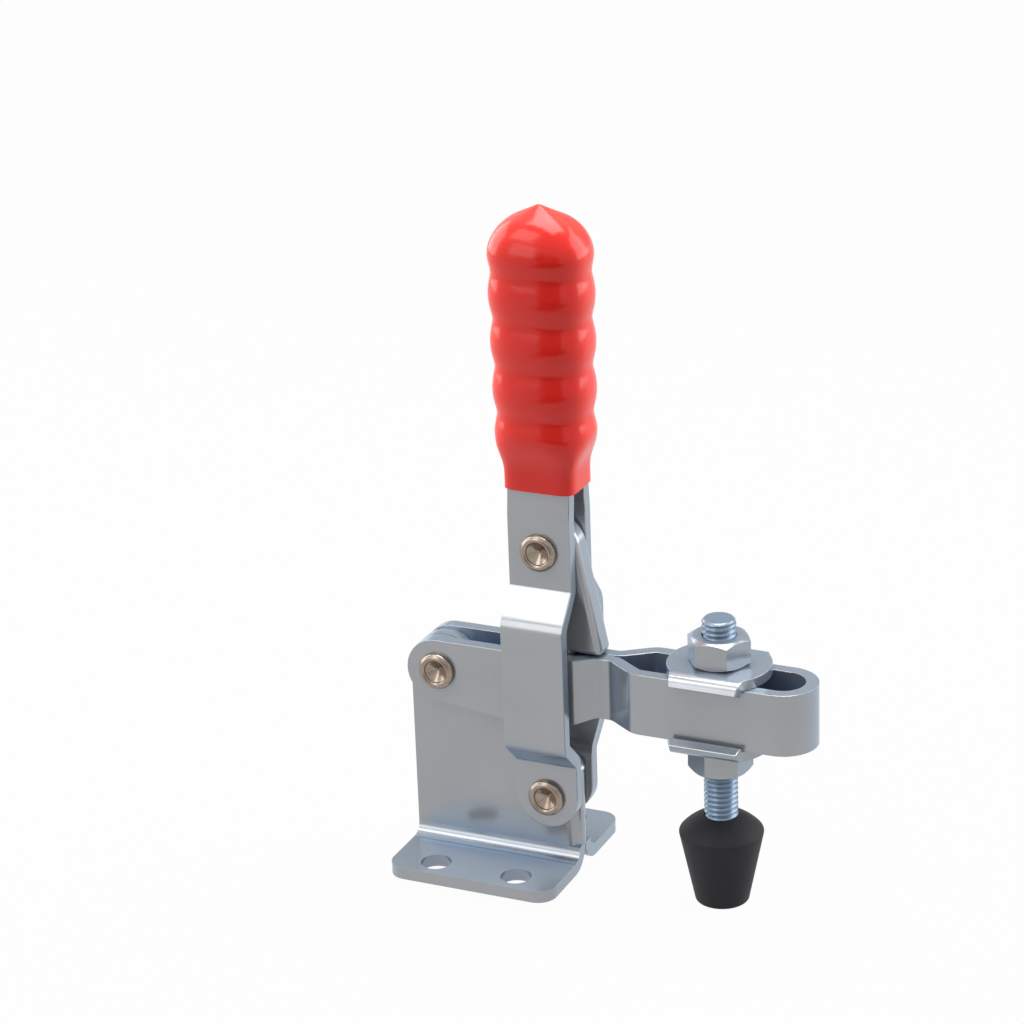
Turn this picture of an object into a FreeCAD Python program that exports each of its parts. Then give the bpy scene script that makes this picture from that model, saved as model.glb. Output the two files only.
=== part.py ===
import FreeCAD, Part
import math
import os

from FreeCAD import Vector

# Vertical-handle toggle clamp with a slotted U-bar arm and a flanged base, in millimetres.
# +X points along the arm, +Z up, and Y = 0 is the plane of symmetry. The origin is on the
# mounting plane, at the centre of the four bolt holes.

# Sheet metal
sheet = 3.0                 # thickness of the base, arm and handle sheet
seam = 0.2                  # gap left where a sheet lies on itself
slip = 0.05                 # gap between flat faces that slide on each other

# Base
base_length = 42.0
base_width = 43.8
flange_corner = 4.5
bend_inner = 2.8            # inside radius of the flange bends
bolt_edge_x = 10.7          # from a bolt hole to the flange's end
bolt_edge_y = 5.55          # from a bolt hole to the flange's outer edge
bolt_hole_d = 7.3
rear_eye_r = 6.6            # rounding of the base about the arm pivot
fold_top_drop = 30.4        # from the arm's top edge down to the closed fold's top at the front
fold_top_r = 4.0

# Pivots
arm_pivot_inset = 8.2       # from the base's rear end
arm_pivot_drop = 7.6        # from the arm's top edge down to its pivot on the base
handle_inset = 6.7          # from the base's front to the handle's centre line
handle_pivot_z = 19.5
link_lower_drop = 8.1       # from the arm's top edge down to the link's lower pivot
link_pitch = 34.0           # between the link's two pivots
over_centre = 0.3           # how far the lower link pivot lies behind the handle's centre line

# Rivets
shank_d = 6.0
pivot_fit = 0.05            # radial clearance of a shank in its turning hole
head_d = 8.8
head_h = 1.5
head_round = 0.45           # rounding of the head's outer edge
head_foot = 0.15            # drawing in of the head at its seat
rim_drop = 0.25             # from the crest of the rolled rim down to its edges
hollow_d = 5.6              # mouth of the rolled end
hollow_draft = 0.15         # narrowing of the mouth's wall on each side
hollow_wall_h = 0.55        # from the crest down to the bottom of the mouth's wall
hollow_depth = 2.5          # from the crest down to the point of the cone
dome_h = 1.4
dome_edge = 0.4
dome_swell = 0.72           # share of the dome's height reached half way to its edge

# Arm
bar_top_z = 55.4
bar_height = 15.0
bar_width = 16.3
bar_reach = 64.7            # from the handle's centre line to the bar's front
rear_end_r = 7.8            # rounding of the rear plates about the arm pivot
belly_drop = 17.5           # from the arm's top edge down to the rear plates' lowest edge
belly_behind = 10.3         # from the handle's centre line back to where the belly starts
belly_ahead = 2.7
belly_bend_r = 25.0
pinch_reach = 11.5          # from the handle's centre line to where the strip lies on its twin
pinch_length = 4.6
neck_in_length = 4.0        # length of the bend into the pinch
neck_out_length = 7.2       # length of the bend out to the U
neck_bend_r = 4.0

# Handle
handle_width = 15.4
handle_rise = 6.1           # step outwards, over the arm and the rivet heads
step_low_rise = 9.3         # from the handle's pivot up to the start of its lower step
step_low_length = 5.9
step_low_bend = 2.6
step_high_rise = 9.0        # from the arm's top edge up to the start of the upper step
step_high_length = 7.5
step_high_bend_out = 5.0
step_high_bend_in = 2.0
tuck = 0.5                  # step inwards of each plate just below the grip
tuck_start = 6.2            # from the grip's mouth down to where the tuck begins
tuck_end = 1.4
tuck_bend = 20.0
handle_reach = 55.0         # length of the plates inside the grip
handle_top_r = 5.0

# Link
link_sheet = 2.0
link_side_gap = 0.2         # gap from the link to the plates on each side of it
link_upper_r = 7.0
link_lower_r = 6.3
link_nose_reach = 13.7      # from the handle's centre line to the front lower corner of the web
link_nose_gap = 0.25        # from the arm's top up to that corner
link_nose_r = 1.5
link_bend_r = 1.6           # outside rounding of the folded web

# Grip
grip_bottom_rise = 14.7     # from the link's upper pivot up to the grip's mouth
grip_wall = 1.05            # wall at the mouth, round the two handle plates
grip_fit = 0.05             # gap from the pocket to the handle plates
grip_neck_length = 4.5      # straight mouth below the flare
grip_flare_length = 9.1
grip_half_x = 12.1          # half width over the topmost ridge
grip_half_y = 9.4
grip_narrowing = 0.012      # loss of half width for each millimetre down from the dome
grip_first_groove = 17.5    # height of the lowest groove above the mouth
grip_pitch = 11.1
grip_grooves = 4
grip_groove_depth = 0.95    # of the control rows, which the smooth skin rounds off
grip_dome_height = 10.7
grip_tip_height = 1.0       # the pointed tip above the dome
grip_square = 2.6           # exponent of the section: 2 is an ellipse, more is squarer
grip_mouth_square = 7.0
grip_pocket_top = 1.0       # play above the handle plates
grip_around = 40            # control points round a section
grip_rows_per_pitch = 6     # control rows along one groove
grip_lead_rows = 2          # control rows of the lobe below the lowest groove
grip_shoulder = 0.3         # share of a pitch from the topmost groove up to the dome
grip_dome_deg = (0.0, 14.0, 28.0, 42.0, 55.0)
grip_tip_share = 0.06       # size of the small flat at the tip, as a share of the last dome row

# Spindle
spindle_reach = 41.2        # from the handle's centre line to the stud
stud_d = 7.9
stud_chamfer = 0.5
stud_top_rise = 13.3        # from the arm's top edge up to the stud's end
thread_fit = 0.05           # radial clearance of the stud in its nuts
stud_head_d = 13.0
stud_head_h = 3.0
stud_head_z = 3.0
nut_across_flats = 13.0
nut_height = 6.8
nut_face = 0.92             # the chamfer's circle, as a share of the width across flats
nut_chamfer_deg = 30.0
nut_upper_turn_deg = 4.0
nut_lower_turn_deg = 22.0

# Flanged washers
washer_sheet = 2.5
washer_d = 24.2
washer_hole_d = 8.6
lip_angle_deg = 68.0
lip_length = 0.9
lip_bend_inner = 0.6
lip_tip_width = 15.6
lip_gap = 0.15              # gap from the bar's side to the start of the lip's bend

# Rubber cap
cap_top_z = 19.6
cap_shoulder_z = 15.4
cap_shoulder_d = 19.8
cap_shoulder_r = 0.9
cap_foot_d = 12.4
cap_bottom_z = -2.3
cap_foot_r = 0.8
cap_crown = 0.6             # how far the shoulder bulges above a straight cone

# Places that follow from the sizes above
base_half = sheet + seam / 2.0
inner_face = base_half + slip
outer_face = inner_face + sheet
raised_face = inner_face + handle_rise
tucked_face = outer_face - tuck
head_seat = outer_face + slip
link_half = inner_face - link_side_gap
arm_pivot_x = arm_pivot_inset - base_length / 2.0
handle_x = base_length / 2.0 - handle_inset
link_lower_x = handle_x - over_centre
bolt_pitch_x = base_length - 2.0 * bolt_edge_x
bolt_pitch_y = base_width - 2.0 * bolt_edge_y
pinch_start_x = handle_x + pinch_reach
pinch_end_x = pinch_start_x + pinch_length
bar_front_x = handle_x + bar_reach
spindle_x = handle_x + spindle_reach
bar_half = bar_width / 2.0
bar_bottom_z = bar_top_z - bar_height
belly_z = bar_top_z - belly_drop
arm_pivot_z = bar_top_z - arm_pivot_drop
link_lower_z = bar_top_z - link_lower_drop
link_upper_z = link_lower_z + link_pitch
fold_top_z = bar_top_z - fold_top_drop
step_low_z = handle_pivot_z + step_low_rise
step_high_z = bar_top_z + step_high_rise
grip_bottom_z = link_upper_z + grip_bottom_rise
handle_top_z = grip_bottom_z + handle_reach
stud_top_z = bar_top_z + stud_top_rise
bend_top_z = sheet + bend_inner
shank_r = shank_d / 2.0
stud_r = stud_d / 2.0


def turn_points(points, radii, offset):
    """Corners of a line set off sideways by offset, with the radius of each rounded corner."""
    corners = []
    count = len(points)
    for i in range(count):
        x, y = points[i]
        before = points[i - 1] if i > 0 else None
        after = points[i + 1] if i < count - 1 else None
        d_in = direction(before, points[i]) if before else direction(points[i], after)
        d_out = direction(points[i], after) if after else d_in
        n_in = (-d_in[1], d_in[0])
        n_out = (-d_out[1], d_out[0])
        scale = 1.0 + n_in[0] * n_out[0] + n_in[1] * n_out[1]
        shift_x = (n_in[0] + n_out[0]) * offset / scale
        shift_y = (n_in[1] + n_out[1]) * offset / scale
        turn = d_in[0] * d_out[1] - d_in[1] * d_out[0]
        side = 0.0 if abs(turn) < 1e-9 else math.copysign(1.0, turn)
        corners.append((x + shift_x, y + shift_y, radii[i] - side * offset))
    return corners


def direction(a, b):
    length = math.hypot(b[0] - a[0], b[1] - a[1])
    return ((b[0] - a[0]) / length, (b[1] - a[1]) / length)


def rounded_edges(corners, closed, place):
    """Lines and arcs through corners (u, v, radius). place turns (u, v) into a point in space."""
    count = len(corners)
    pieces = []
    for i in range(count):
        u, v, r = corners[i]
        if not closed and i in (0, count - 1):
            pieces.append(((u, v), None, (u, v)))
            continue
        before = corners[i - 1]
        after = corners[(i + 1) % count]
        d_in = direction(before, (u, v))
        d_out = direction((u, v), after)
        cosine = max(-1.0, min(1.0, d_in[0] * d_out[0] + d_in[1] * d_out[1]))
        half = math.acos(cosine) / 2.0
        if r < 1e-6 or half < 1e-6:
            pieces.append(((u, v), None, (u, v)))
            continue
        reach = r * math.tan(half)
        start = (u - d_in[0] * reach, v - d_in[1] * reach)
        end = (u + d_out[0] * reach, v + d_out[1] * reach)
        inward = (d_out[0] - d_in[0], d_out[1] - d_in[1])
        size = math.hypot(inward[0], inward[1])
        depth = r / math.cos(half) - r
        middle = (u + inward[0] / size * depth, v + inward[1] / size * depth)
        pieces.append((start, middle, end))
    edges = []
    last = count if closed else count - 1
    for i in range(count):
        start, middle, end = pieces[i]
        if middle is not None:
            edges.append(Part.Arc(place(*start), place(*middle), place(*end)).toShape())
        if i < last:
            following = pieces[(i + 1) % count][0]
            if math.hypot(following[0] - end[0], following[1] - end[1]) > 1e-6:
                edges.append(Part.LineSegment(place(*end), place(*following)).toShape())
    return edges


def in_plan(u, v):
    return Vector(u, v, 0.0)


def in_side(u, v):
    return Vector(u, 0.0, v)


def in_front(u, v):
    return Vector(0.0, u, v)


def outline(corners, place, along):
    """Solid from a closed outline with rounded corners, extruded by the vector along."""
    face = Part.Face(Part.Wire(rounded_edges(corners, True, place)))
    return face.extrude(along)


def ribbon(points, radii, thickness, place, along):
    """Bent strip of even thickness. points and radii describe its middle line."""
    left = turn_points(points, radii, thickness / 2.0)
    right = turn_points(points, radii, -thickness / 2.0)
    left_edges = rounded_edges(left, False, place)
    right_edges = rounded_edges(right, False, place)
    first_cap = Part.LineSegment(place(*left[0][:2]), place(*right[0][:2])).toShape()
    last_cap = Part.LineSegment(place(*left[-1][:2]), place(*right[-1][:2])).toShape()
    loop = Part.Wire(Part.__sortEdges__(left_edges + right_edges + [first_cap, last_cap]))
    return Part.Face(loop).extrude(along)


def slab(corners, half_width):
    """Side profile in X and Z, extruded to both sides of the plane of symmetry."""
    shape = outline(corners, in_side, Vector(0.0, 2.0 * half_width, 0.0))
    shape.translate(Vector(0.0, -half_width, 0.0))
    if shape.Volume < 0:
        shape.reverse()
    return shape


def cross_bore(x, z, radius, half_width):
    """Round bore along Y through (x, z)."""
    return Part.makeCylinder(radius, 2.0 * half_width, Vector(x, -half_width, z), Vector(0, 1, 0))


def mirrored(shape):
    return shape.mirror(Vector(0, 0, 0), Vector(0, 1, 0))


def pivot_bore(x, z):
    return cross_bore(x, z, shank_r + pivot_fit, base_width)


def base():
    half_length = base_length / 2.0
    half_width = base_width / 2.0
    # One bent flange: down the inside of the bend, out to the edge and back.
    middle = base_half - sheet / 2.0
    path = [(middle, bend_top_z), (middle, sheet / 2.0), (half_width, sheet / 2.0)]
    bend_middle_r = bend_inner + sheet / 2.0
    flange = ribbon(path, [0.0, bend_middle_r, 0.0], sheet, in_front, Vector(base_length, 0, 0))
    flange.translate(Vector(-half_length, 0, 0))
    plan = outline(
        [
            (-half_length, -half_width, flange_corner),
            (half_length, -half_width, flange_corner),
            (half_length, half_width, flange_corner),
            (-half_length, half_width, flange_corner),
        ],
        in_plan,
        Vector(0, 0, bend_top_z),
    )
    flange = flange.common(plan)
    # Upright: the sheet folded onto itself about the vertical fold at the front.
    path = [
        (-half_length, -middle),
        (half_length - sheet / 2.0, -middle),
        (half_length - sheet / 2.0, middle),
        (-half_length, middle),
    ]
    top = arm_pivot_z + rear_eye_r
    upright = ribbon(path, [0.0, middle, middle, 0.0], sheet, in_plan, Vector(0, 0, top))
    slope = math.atan2(top - fold_top_z, half_length - arm_pivot_x)
    peak = rear_eye_r * math.tan(slope / 2.0)
    side = slab(
        [
            (-half_length, bend_top_z, 0.0),
            (half_length, bend_top_z, 0.0),
            (half_length, fold_top_z, fold_top_r),
            (arm_pivot_x + peak, top, rear_eye_r),
            (-half_length, top, rear_eye_r),
        ],
        base_half + sheet,
    )
    upright = upright.common(side)
    body = upright.fuse([flange, mirrored(flange)]).removeSplitter()
    bores = [pivot_bore(arm_pivot_x, arm_pivot_z), pivot_bore(handle_x, handle_pivot_z)]
    for x in (-bolt_pitch_x / 2.0, bolt_pitch_x / 2.0):
        for y in (-bolt_pitch_y / 2.0, bolt_pitch_y / 2.0):
            bores.append(Part.makeCylinder(bolt_hole_d / 2.0, 2.0 * sheet, Vector(x, y, -sheet / 2.0)))
    return body.cut(bores)


def clamp_arm():
    rear_y = (inner_face + outer_face) / 2.0
    pinch_y = (seam + sheet) / 2.0
    bar_y = bar_half - sheet / 2.0
    rear_x = arm_pivot_x - rear_end_r
    nose_x = bar_front_x - sheet / 2.0
    neck_x = pinch_start_x - neck_in_length
    open_x = pinch_end_x + neck_out_length
    near = [
        (rear_x, -rear_y, 0.0),
        (neck_x, -rear_y, neck_bend_r),
        (pinch_start_x, -pinch_y, neck_bend_r),
        (pinch_end_x, -pinch_y, neck_bend_r),
        (open_x, -bar_y, neck_bend_r),
        (nose_x, -bar_y, bar_y),
    ]
    far = [(x, -y, r) for x, y, r in reversed(near)]
    path = near + far
    strip = ribbon(
        [(x, y) for x, y, r in path],
        [r for x, y, r in path],
        sheet,
        in_plan,
        Vector(0, 0, bar_top_z - belly_z),
    )
    strip.translate(Vector(0, 0, belly_z))
    rear_bottom_z = bar_top_z - 2.0 * rear_end_r
    side = slab(
        [
            (rear_x, bar_top_z, rear_end_r),
            (rear_x, rear_bottom_z, rear_end_r - 0.01),
            (arm_pivot_x, rear_bottom_z, 0.0),
            (handle_x - belly_behind, belly_z, belly_bend_r),
            (handle_x + belly_ahead, belly_z, belly_bend_r),
            (pinch_start_x, bar_bottom_z, rear_end_r),
            (bar_front_x, bar_bottom_z, 0.0),
            (bar_front_x, bar_top_z, 0.0),
        ],
        bar_width,
    )
    arm = strip.common(side)
    return arm.cut([pivot_bore(arm_pivot_x, arm_pivot_z), pivot_bore(link_lower_x, link_lower_z)])


def handle_plate_right():
    low_y = -(inner_face + sheet / 2.0)
    high_y = low_y - handle_rise
    bottom_z = handle_pivot_z - handle_width / 2.0
    path = [
        (low_y, bottom_z, 0.0),
        (low_y, step_low_z, step_low_bend),
        (high_y, step_low_z + step_low_length, step_low_bend),
        (high_y, step_high_z, step_high_bend_out),
        (low_y, step_high_z + step_high_length, step_high_bend_in),
        (low_y, grip_bottom_z - tuck_start, tuck_bend),
        (low_y + tuck, grip_bottom_z - tuck_end, tuck_bend),
        (low_y + tuck, handle_top_z, 0.0),
    ]
    plate = ribbon(
        [(y, z) for y, z, r in path],
        [r for y, z, r in path],
        sheet,
        in_front,
        Vector(handle_width, 0, 0),
    )
    rear_x = handle_x - handle_width / 2.0
    plate.translate(Vector(rear_x, 0, 0))
    front_x = handle_x + handle_width / 2.0
    end_r = handle_width / 2.0 - 0.01
    side = slab(
        [
            (rear_x, bottom_z, end_r),
            (front_x, bottom_z, end_r),
            (front_x, handle_top_z, handle_top_r),
            (rear_x, handle_top_z, handle_top_r),
        ],
        base_width,
    )
    plate = plate.common(side)
    return plate.cut([pivot_bore(handle_x, handle_pivot_z), pivot_bore(handle_x, link_upper_z)])


def link():
    # Side profile: an eye at each end and a nose at the front that reaches over the arm.
    nose_x = handle_x + link_nose_reach
    nose_z = bar_top_z + link_nose_gap
    upper = (handle_x, link_upper_z)
    lower = (link_lower_x, link_lower_z)
    rear_x = lower[0] - link_lower_r
    front_x = lower[0] + link_lower_r
    body = slab(
        [
            (upper[0] - link_upper_r, upper[1] + link_upper_r, link_upper_r),
            (upper[0] + link_upper_r, upper[1] + link_upper_r, link_upper_r),
            (nose_x, nose_z, link_nose_r),
            (front_x, nose_z, 0.0),
            (front_x, lower[1] - link_lower_r, link_lower_r - 0.01),
            (rear_x, lower[1] - link_lower_r, link_lower_r - 0.01),
        ],
        link_half,
    )
    front_edges = []
    for edge in body.Edges:
        box = edge.BoundBox
        on_side = abs(abs(box.YMin) - link_half) < 1e-6 and box.YLength < 1e-6
        if on_side and box.ZMin > nose_z - 0.01 and box.XMin > upper[0]:
            front_edges.append(edge)
    body = body.makeFillet(link_bend_r, front_edges)
    # The channel is open at the back and below the web.
    room = slab(
        [
            (upper[0] - 2.0 * link_upper_r, upper[1] + link_upper_r - link_sheet, 0.0),
            (upper[0] + link_upper_r - link_sheet, upper[1] + link_upper_r - link_sheet, link_upper_r),
            (nose_x - link_sheet, nose_z, 0.0),
            (nose_x + link_sheet, nose_z, 0.0),
            (nose_x + link_sheet, lower[1] - 2.0 * link_lower_r, 0.0),
            (upper[0] - 2.0 * link_upper_r, lower[1] - 2.0 * link_lower_r, 0.0),
        ],
        link_half - link_sheet,
    )
    body = body.cut(room)
    return body.cut([pivot_bore(*upper), pivot_bore(*lower)])


def rolled_end():
    """Profile of a rolled hollow rivet end about the Z axis, with its seat at Z = 0."""
    head_r = head_d / 2.0
    hollow_r = hollow_d / 2.0
    crest_r = (head_r + hollow_r) / 2.0
    point = Vector(0, 0, head_h - hollow_depth)
    cone_top = Vector(hollow_r - hollow_draft, 0, head_h - hollow_wall_h)
    inner_rim = Vector(hollow_r, 0, head_h - rim_drop)
    crest = Vector(crest_r, 0, head_h)
    outer_rim = Vector(head_r - head_round, 0, head_h - rim_drop)
    edge_mid = Vector(head_r, 0, head_h / 2.0)
    foot = Vector(head_r - head_foot, 0, 0)
    edges = [
        Part.LineSegment(point, cone_top).toShape(),
        Part.LineSegment(cone_top, inner_rim).toShape(),
        Part.Arc(inner_rim, crest, outer_rim).toShape(),
        Part.Arc(outer_rim, edge_mid, foot).toShape(),
    ]
    return edges, point, foot


def domed_end():
    """Profile of a low domed factory head about the Z axis, with its seat at Z = 0."""
    head_r = head_d / 2.0
    top = Vector(0, 0, dome_h)
    on_dome = Vector(head_r / 2.0, 0, dome_edge + (dome_h - dome_edge) * dome_swell)
    shoulder = Vector(head_r, 0, dome_edge)
    foot = Vector(head_r, 0, 0)
    edges = [
        Part.Arc(top, on_dome, shoulder).toShape(),
        Part.LineSegment(shoulder, foot).toShape(),
    ]
    return edges, top, foot


def half_rivet(grip, hollow, inner_stop):
    """Rivet half from Z = inner_stop up to its head, which seats at Z = grip."""
    edges, start, end = rolled_end() if hollow else domed_end()
    for edge in edges:
        edge.translate(Vector(0, 0, grip))
    start = start + Vector(0, 0, grip)
    end = end + Vector(0, 0, grip)
    neck = Vector(shank_r, 0, grip)
    foot = Vector(shank_r, 0, inner_stop)
    heart = Vector(0, 0, inner_stop)
    for a, b in ((end, neck), (neck, foot), (foot, heart), (heart, start)):
        edges.append(Part.LineSegment(a, b).toShape())
    face = Part.Face(Part.Wire(Part.__sortEdges__(edges)))
    return face.revolve(Vector(0, 0, 0), Vector(0, 0, 1), 360)


def rivet(x, z, inner_stop):
    """Rivet along Y. The hollow end shows on the right side and the domed head on the left."""
    right = half_rivet(head_seat, True, inner_stop)
    left = half_rivet(head_seat, False, inner_stop)
    right.rotate(Vector(0, 0, 0), Vector(1, 0, 0), 90)
    left.rotate(Vector(0, 0, 0), Vector(1, 0, 0), -90)
    if inner_stop > 0:
        shape = Part.makeCompound([right, left])
    else:
        shape = right.fuse(left).removeSplitter()
    shape.translate(Vector(x, 0, z))
    return shape


def washer(top_side):
    """Flanged washer: a round blank whose two sides are bent over the sides of the bar."""
    lip = math.radians(lip_angle_deg)
    middle_r = lip_bend_inner + washer_sheet / 2.0
    set_back = middle_r * math.tan(lip / 2.0)
    bend_start_y = bar_half + lip_gap
    bend_y = bend_start_y + set_back
    tip_y = bend_y + (lip_length + set_back) * math.cos(lip)
    tip_z = washer_sheet / 2.0 - (lip_length + set_back) * math.sin(lip)
    path = [
        (-tip_y, tip_z),
        (-bend_y, washer_sheet / 2.0),
        (bend_y, washer_sheet / 2.0),
        (tip_y, tip_z),
    ]
    strip = ribbon(path, [0.0, middle_r, middle_r, 0.0], washer_sheet, in_front, Vector(washer_d, 0, 0))
    strip.translate(Vector(-washer_d / 2.0, 0, 0))
    height = 4.0 * washer_sheet
    blank = Part.makeCylinder(washer_d / 2.0, height, Vector(0, 0, washer_sheet - height))
    half_chord = math.sqrt((washer_d / 2.0) ** 2 - bend_start_y ** 2)
    half_tip = lip_tip_width / 2.0
    reach = tip_y + washer_sheet
    ears = outline(
        [
            (-half_tip, -reach, 0.0),
            (half_tip, -reach, 0.0),
            (half_chord, -bend_start_y, 0.0),
            (half_chord, bend_start_y, 0.0),
            (half_tip, reach, 0.0),
            (-half_tip, reach, 0.0),
            (-half_chord, bend_start_y, 0.0),
            (-half_chord, -bend_start_y, 0.0),
        ],
        in_plan,
        Vector(0, 0, height),
    )
    ears.translate(Vector(0, 0, washer_sheet - height))
    shape = strip.common(blank.fuse(ears))
    shape = shape.cut(Part.makeCylinder(washer_hole_d / 2.0, height, Vector(0, 0, -washer_sheet)))
    if top_side:
        shape.translate(Vector(spindle_x, 0, bar_top_z))
    else:
        shape = shape.mirror(Vector(0, 0, 0), Vector(0, 0, 1))
        shape.translate(Vector(spindle_x, 0, bar_bottom_z))
    return shape


def nut(bottom_z, turn_deg):
    corner_r = nut_across_flats / 2.0 / math.cos(math.radians(30.0))
    corners = []
    for i in range(6):
        angle = math.radians(60.0 * i + turn_deg)
        corners.append(Vector(corner_r * math.cos(angle), corner_r * math.sin(angle), 0))
    corners.append(corners[0])
    prism = Part.Face(Part.makePolygon(corners)).extrude(Vector(0, 0, nut_height))
    # Chamfered ends: the face circle is a little smaller than the flats.
    face_r = nut_face * nut_across_flats / 2.0
    drop = (corner_r - face_r) * math.tan(math.radians(nut_chamfer_deg))
    profile = [
        Vector(0, 0, 0),
        Vector(face_r, 0, 0),
        Vector(corner_r, 0, drop),
        Vector(corner_r, 0, nut_height - drop),
        Vector(face_r, 0, nut_height),
        Vector(0, 0, nut_height),
        Vector(0, 0, 0),
    ]
    turned = Part.Face(Part.makePolygon(profile)).revolve(Vector(0, 0, 0), Vector(0, 0, 1), 360)
    body = prism.common(turned)
    bore_r = stud_r + thread_fit
    bore = Part.makeCylinder(bore_r, 2.0 * nut_height, Vector(0, 0, -nut_height / 2.0))
    body = body.cut(bore)
    body.translate(Vector(spindle_x, 0, bottom_z))
    return body


def stud():
    head_r = stud_head_d / 2.0
    profile = [
        Vector(0, 0, stud_head_z),
        Vector(head_r, 0, stud_head_z),
        Vector(head_r, 0, stud_head_z + stud_head_h),
        Vector(stud_r, 0, stud_head_z + stud_head_h),
        Vector(stud_r, 0, stud_top_z - stud_chamfer),
        Vector(stud_r - stud_chamfer, 0, stud_top_z),
        Vector(0, 0, stud_top_z),
        Vector(0, 0, stud_head_z),
    ]
    body = Part.Face(Part.makePolygon(profile)).revolve(Vector(0, 0, 0), Vector(0, 0, 1), 360)
    body.translate(Vector(spindle_x, 0, 0))
    return body


def rubber_cap():
    shoulder_r = cap_shoulder_d / 2.0
    foot_r = cap_foot_d / 2.0
    crown_start = Vector(stud_r, 0, cap_top_z)
    crown_mid = Vector((stud_r + shoulder_r) / 2.0, 0, (cap_top_z + cap_shoulder_z) / 2.0 + cap_crown)
    crown_end = Vector(shoulder_r, 0, cap_shoulder_z)
    foot_edge = Vector(foot_r, 0, cap_bottom_z)
    edges = [
        Part.Arc(crown_start, crown_mid, crown_end).toShape(),
        Part.LineSegment(crown_end, foot_edge).toShape(),
        Part.LineSegment(foot_edge, Vector(0, 0, cap_bottom_z)).toShape(),
        Part.LineSegment(Vector(0, 0, cap_bottom_z), Vector(0, 0, cap_top_z)).toShape(),
        Part.LineSegment(Vector(0, 0, cap_top_z), crown_start).toShape(),
    ]
    face = Part.Face(Part.Wire(Part.__sortEdges__(edges)))
    body = face.revolve(Vector(0, 0, 0), Vector(0, 0, 1), 360)
    for height, radius in ((cap_shoulder_z, cap_shoulder_r), (cap_bottom_z, cap_foot_r)):
        rim = [edge for edge in body.Edges if abs(edge.BoundBox.ZMax - height) < 1e-6]
        rim = [edge for edge in rim if edge.BoundBox.ZLength < 1e-6]
        body = body.makeFillet(radius, rim)
    body.translate(Vector(spindle_x, 0, 0))
    return body.cut(stud())


def section(z, half_x, half_y, square):
    """Control points of a grip section at height z, from an ellipse to a rounded rectangle."""
    points = []
    for i in range(grip_around):
        angle = 2.0 * math.pi * i / grip_around
        c = math.cos(angle)
        s = math.sin(angle)
        reach = (abs(c / half_x) ** square + abs(s / half_y) ** square) ** (-1.0 / square)
        points.append(Vector(handle_x + reach * c, reach * s, z))
    return points


def grip_mouth():
    """Rows of the straight mouth and of the flare above it."""
    mouth_x = handle_width / 2.0 + grip_fit + grip_wall
    mouth_y = tucked_face + grip_fit + grip_wall
    full_x, full_y = grip_body(grip_neck_length + grip_flare_length)
    rows = []
    for share in (0.0, 0.25, 0.6, 1.0):
        rows.append((grip_neck_length * share, mouth_x, mouth_y, grip_mouth_square))
    for share in (0.22, 0.44, 0.66, 0.88):
        swell = share * share * (3.0 - 2.0 * share)
        rows.append(
            (
                grip_neck_length + grip_flare_length * share,
                mouth_x + swell * (full_x - mouth_x),
                mouth_y + swell * (full_y - mouth_y),
                grip_mouth_square + swell * (grip_square - grip_mouth_square),
            )
        )
    return rows


def grip_body(height):
    """Half sizes of the grooved body at a height above the mouth: each lobe is a rounded swelling."""
    dome = grip_first_groove + (grip_grooves - 1) * grip_pitch
    lobe = abs(math.sin(math.pi * (height - grip_first_groove) / grip_pitch))
    groove = grip_groove_depth * (1.0 - lobe)
    half_x = grip_half_x - grip_narrowing * (dome - height) - groove
    return half_x, grip_half_y - groove


def grip_lobes():
    """Rows of the finger grooves."""
    rows = []
    step = grip_pitch / grip_rows_per_pitch
    for i in range(-grip_lead_rows, grip_rows_per_pitch * (grip_grooves - 1) + 1):
        height = grip_first_groove + i * step
        half_x, half_y = grip_body(height)
        rows.append((height, half_x, half_y, grip_square))
    return rows


def grip_dome():
    """Rows of the rounded end, which runs out to a small point."""
    base_height = grip_first_groove + (grip_grooves - 1 + grip_shoulder) * grip_pitch
    rows = []
    for angle in grip_dome_deg:
        narrow = math.cos(math.radians(angle))
        height = base_height + grip_dome_height * math.sin(math.radians(angle))
        rows.append((height, grip_half_x * narrow, grip_half_y * narrow, grip_square))
    last = rows[-1]
    rise = base_height + grip_dome_height + grip_tip_height - last[0]
    for share in (0.4, 0.75, 1.0):
        narrow = 1.0 - (1.0 - grip_tip_share) * share
        rows.append((last[0] + share * rise, last[1] * narrow, last[2] * narrow, 2.0))
    return rows


def grip():
    rows = grip_mouth() + grip_lobes() + grip_dome()
    poles = [section(grip_bottom_z + row[0], *row[1:]) for row in rows]
    # A cubic skin over the rows: open along the grip and closed round it.
    spans = len(rows) - 3
    along = [float(i) for i in range(spans + 1)]
    around = [float(i) for i in range(grip_around + 1)]
    along_counts = [4] + [1] * (spans - 1) + [4]
    around_counts = [1] * (grip_around + 1)
    skin = Part.BSplineSurface()
    skin.buildFromPolesMultsKnots(
        poles, along_counts, around_counts, along, around, False, True, 3, 3
    )
    ends = [Part.Face(Part.Wire(skin.uIso(place).toShape())) for place in (along[0], along[-1])]
    shell = Part.makeShell([skin.toShape()] + ends)
    shell.sewShape()
    body = Part.makeSolid(shell)
    if body.Volume < 0:
        body.reverse()
    pocket_x = handle_width / 2.0 + grip_fit
    pocket_top_z = handle_top_z + grip_pocket_top
    pocket = slab(
        [
            (handle_x - pocket_x, grip_bottom_z - sheet, 0.0),
            (handle_x + pocket_x, grip_bottom_z - sheet, 0.0),
            (handle_x + pocket_x, pocket_top_z, handle_top_r),
            (handle_x - pocket_x, pocket_top_z, handle_top_r),
        ],
        tucked_face + grip_fit,
    )
    return body.cut(pocket)


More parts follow.
